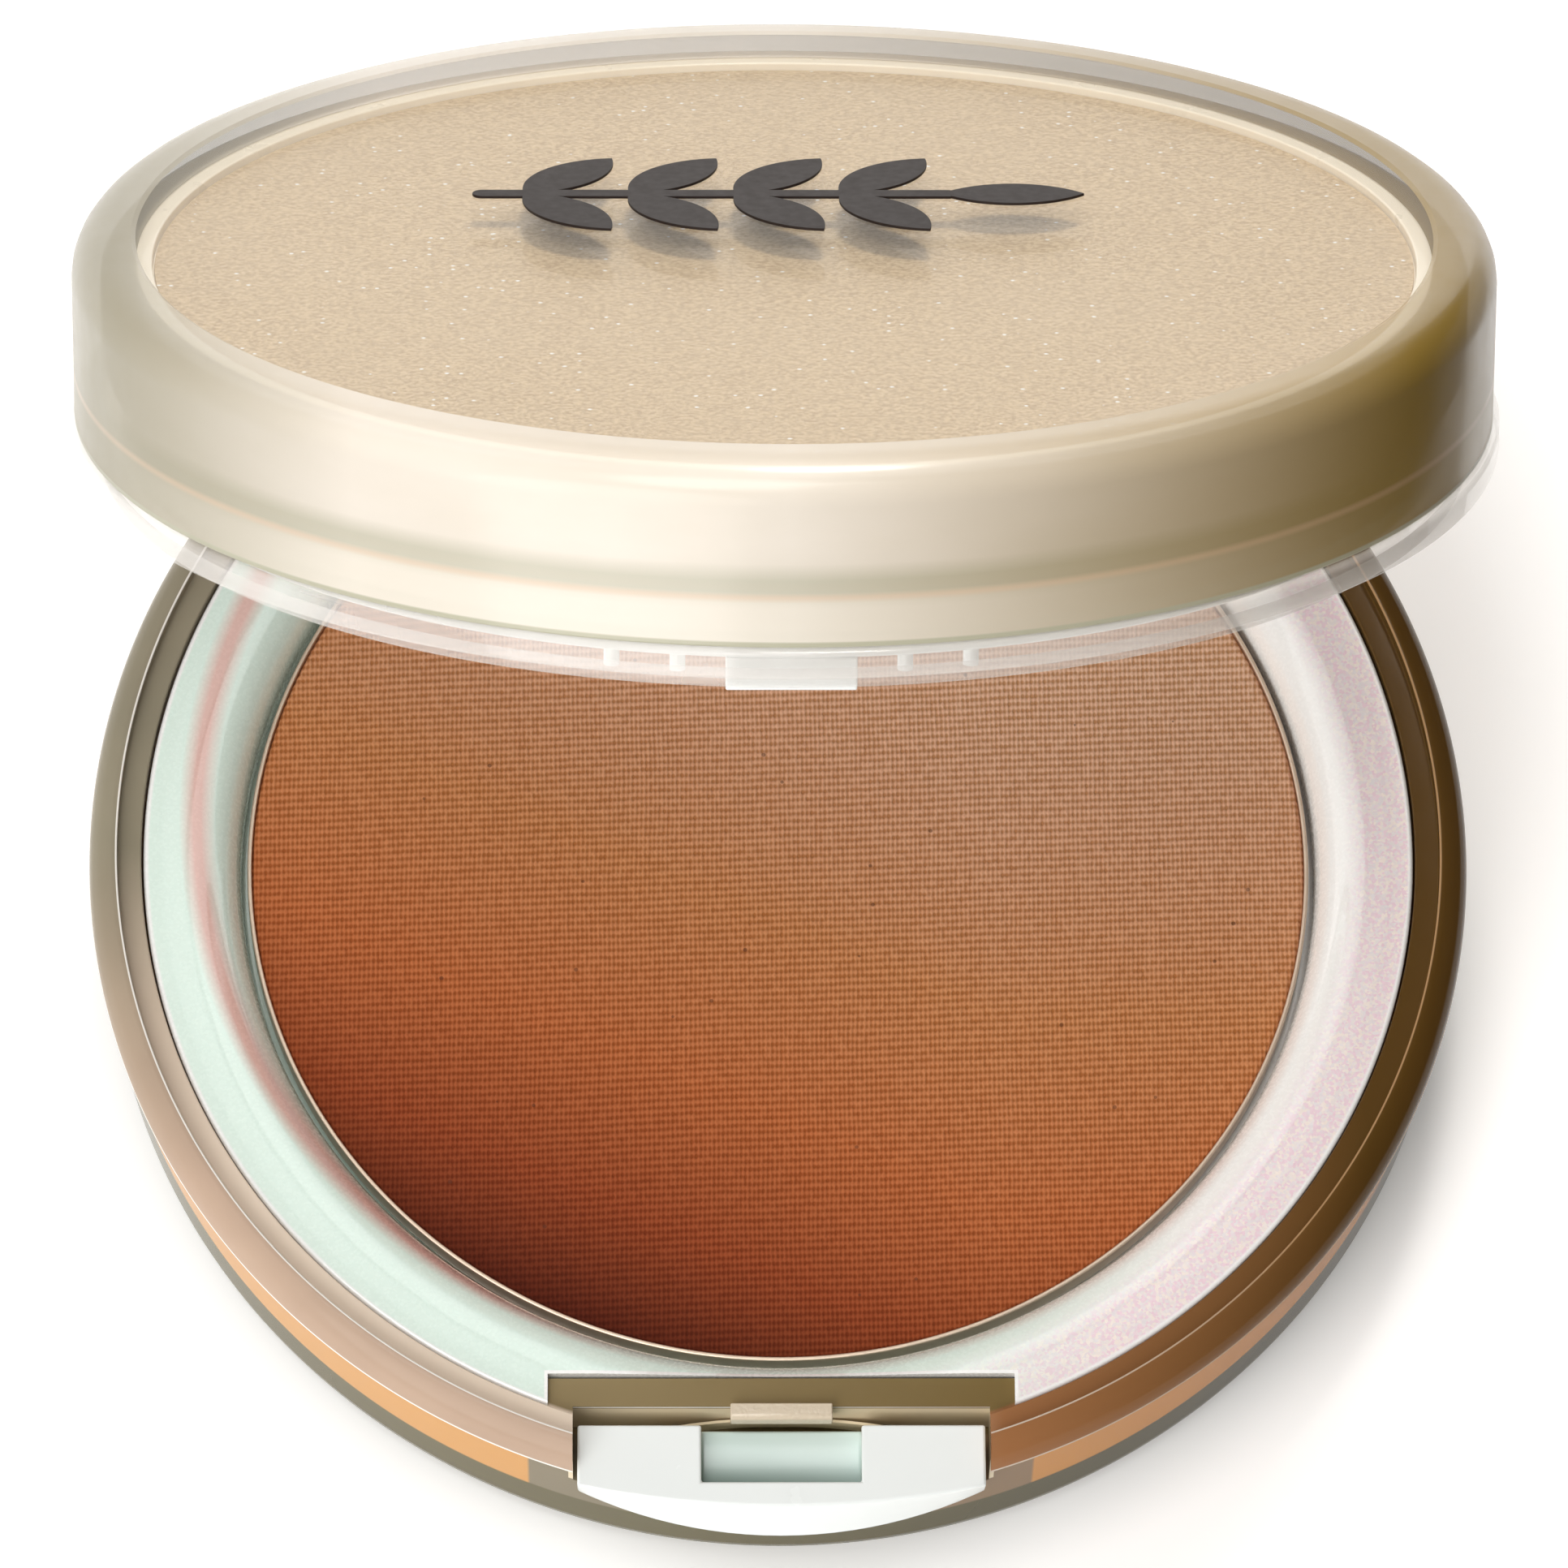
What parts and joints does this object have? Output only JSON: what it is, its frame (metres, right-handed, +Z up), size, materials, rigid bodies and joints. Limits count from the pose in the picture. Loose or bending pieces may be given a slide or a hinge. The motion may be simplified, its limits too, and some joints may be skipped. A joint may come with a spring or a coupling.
{
  "type": "powder compact",
  "caption": "Round makeup compact with pressed powder in a shallow pan, a push-button latch at the front and a mirrored lid hinged at the back.",
  "frame": {"origin": "centre of the base's underside, on the foot ring's plane", "axes": "+Z up out of the powder, -Y towards the push button, +Y towards the hinge"},
  "size_m": [0.076, 0.0841, 0.0746],
  "materials": {
    "smoky_translucent": "smoky olive translucent moulded plastic",
    "clear_plastic": "clear moulded plastic",
    "amber_plastic": "warm amber moulded plastic",
    "pearl_white": "white plastic with a mint and pink pearl",
    "tape": "thin adhesive",
    "pan_metal": "thin drawn metal",
    "powder": "pressed powder with a woven imprint, matt",
    "label": "blank round label",
    "pin_steel": "bright steel wire",
    "white_plastic": "white moulded plastic, satin",
    "spring_plastic": "natural acetal",
    "lid_translucent": "frosted translucent plastic with a clear window",
    "cream_plastic": "cream moulded plastic",
    "champagne_pearl": "champagne foil with a fine sparkle",
    "mirror_glass": "silvered glass",
    "dark_print": "raised dark print"
  },
  "bodies": {
    "base": {"base_shell": "smoky_translucent", "catch_insert": "clear_plastic", "inner_tray": "amber_plastic", "deck_tray": "pearl_white", "pan_adhesive": "tape", "pan": "pan_metal", "powder_cake": "powder", "bottom_label": "label", "hinge_pin": "pin_steel"},
    "button": {"push_button": "white_plastic", "button_spring": "spring_plastic"},
    "lid": {"lid_shell": "lid_translucent", "lid_liner": "cream_plastic", "lid_frame": "clear_plastic", "mirror_frame": "white_plastic", "latch_tab": "white_plastic", "decor_disc": "champagne_pearl", "mirror_tape": "tape", "mirror": "mirror_glass", "emblem": "dark_print"}
  },
  "joints": [
    {"name": "lid_hinge", "type": "hinge", "parent": "base", "child": "lid", "pos_m": [0, 0.0395, 0.0131], "axis": [-1, 0, 0], "range_deg": [-44.9, 75.1]},
    {"name": "button_press", "type": "slide", "parent": "base", "child": "button", "axis": [0, 1, 0], "range_m": [0, 0.0007], "stiffness_N_per_m": 900, "springref_m": -0.0008, "deforming": ["button_spring"]}
  ]
}
